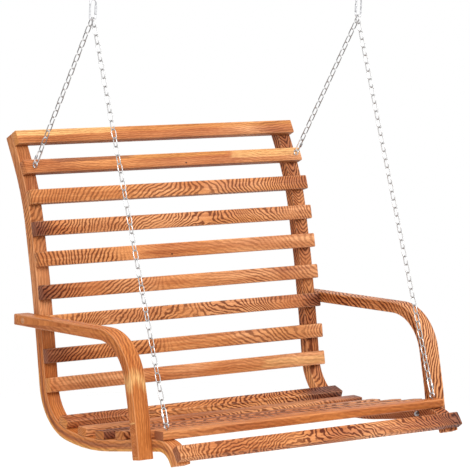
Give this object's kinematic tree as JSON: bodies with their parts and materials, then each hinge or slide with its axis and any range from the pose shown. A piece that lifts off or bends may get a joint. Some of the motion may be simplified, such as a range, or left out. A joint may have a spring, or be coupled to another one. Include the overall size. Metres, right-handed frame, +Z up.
{
  "type": "garden swing bench",
  "caption": "Hanging two-seat garden bench of bent wooden side frames, armrests and slats, on chains with eye bolts, quick links and snap hooks.",
  "frame": {"origin": "midway between the inner tops of the two snap hooks, where the rings of the ceiling or stand bear", "axes": "+X across the bench to the right as seen from the front, +Y to the rear, +Z up"},
  "size_m": [1.272, 1.036, 1.4409],
  "materials": {
    "teak_amber": "oiled, satin",
    "teak_russet": "oiled, satin",
    "teak_umber": "oiled, satin",
    "teak_honey": "oiled, satin",
    "zinc_plated_steel": "zinc plated, satin",
    "plain_steel": "satin"
  },
  "bodies": {
    "hooks": {"snap_hook_left": "zinc_plated_steel", "snap_hook_right": "zinc_plated_steel", "gate_pin_left": "plain_steel", "gate_pin_right": "plain_steel"},
    "bench": {"side_frame_left": "teak_amber", "side_frame_right": "teak_amber", "armrest_left": "teak_amber", "armrest_right": "teak_amber", "back_slat_1": "teak_honey", "back_slat_2": "teak_amber", "back_slat_3": "teak_russet", "back_slat_4": "teak_amber", "back_slat_5": "teak_russet", "back_slat_6": "teak_amber", "back_slat_7": "teak_russet", "back_slat_8": "teak_amber", "back_slat_9": "teak_russet", "seat_slat_1": "teak_umber", "seat_slat_2": "teak_amber", "seat_slat_3": "teak_russet", "seat_slat_4": "teak_amber", "seat_slat_5": "teak_russet", "seat_slat_6": "teak_amber", "front_slat": "teak_russet", "armrest_bolt_post_left": "plain_steel", "armrest_bolt_leg_left": "plain_steel", "armrest_bolt_post_right": "plain_steel", "armrest_bolt_leg_right": "plain_steel", "armrest_nut_post_left": "zinc_plated_steel", "armrest_nut_leg_left": "zinc_plated_steel", "armrest_nut_post_right": "zinc_plated_steel", "armrest_nut_leg_right": "zinc_plated_steel", "armrest_plug_post_left": "teak_amber", "armrest_plug_leg_left": "teak_amber", "armrest_plug_post_right": "teak_amber", "armrest_plug_leg_right": "teak_amber", "eye_bolt_front_left": "zinc_plated_steel", "eye_bolt_rear_left": "zinc_plated_steel", "eye_bolt_front_right": "zinc_plated_steel", "eye_bolt_rear_right": "zinc_plated_steel", "eye_bolt_nut_front_left": "zinc_plated_steel", "eye_bolt_nut_rear_left": "zinc_plated_steel", "eye_bolt_nut_front_right": "zinc_plated_steel", "eye_bolt_nut_rear_right": "zinc_plated_steel", "quick_link_front_left": "zinc_plated_steel", "quick_link_rear_left": "zinc_plated_steel", "quick_link_front_right": "zinc_plated_steel", "quick_link_rear_right": "zinc_plated_steel", "quick_link_sleeve_front_left": "zinc_plated_steel", "quick_link_sleeve_rear_left": "zinc_plated_steel", "quick_link_sleeve_front_right": "zinc_plated_steel", "quick_link_sleeve_rear_right": "zinc_plated_steel", "chain_front_left": "zinc_plated_steel", "chain_rear_left": "zinc_plated_steel", "chain_front_right": "zinc_plated_steel", "chain_rear_right": "zinc_plated_steel"},
    "gate_left": {"hook_gate_left": "zinc_plated_steel", "gate_spring_left": "plain_steel"},
    "gate_right": {"hook_gate_right": "zinc_plated_steel", "gate_spring_right": "plain_steel"}
  },
  "joints": [
    {"name": "bench_swing", "type": "hinge", "parent": "hooks", "child": "bench", "pos_m": [0, 0, -0.061], "axis": [1, 0, 0], "range_deg": [-30, 30]},
    {"name": "gate_left_open", "type": "hinge", "parent": "hooks", "child": "gate_left", "pos_m": [-0.5368, 0, -0.044], "axis": [0, -1, 0], "range_deg": [0, 20], "stiffness_Nm_per_rad": 0.15, "springref_deg": -20.05},
    {"name": "gate_right_open", "type": "hinge", "parent": "hooks", "child": "gate_right", "pos_m": [0.5368, 0, -0.044], "axis": [0, 1, 0], "range_deg": [0, 20], "stiffness_Nm_per_rad": 0.15, "springref_deg": -20.05}
  ]
}
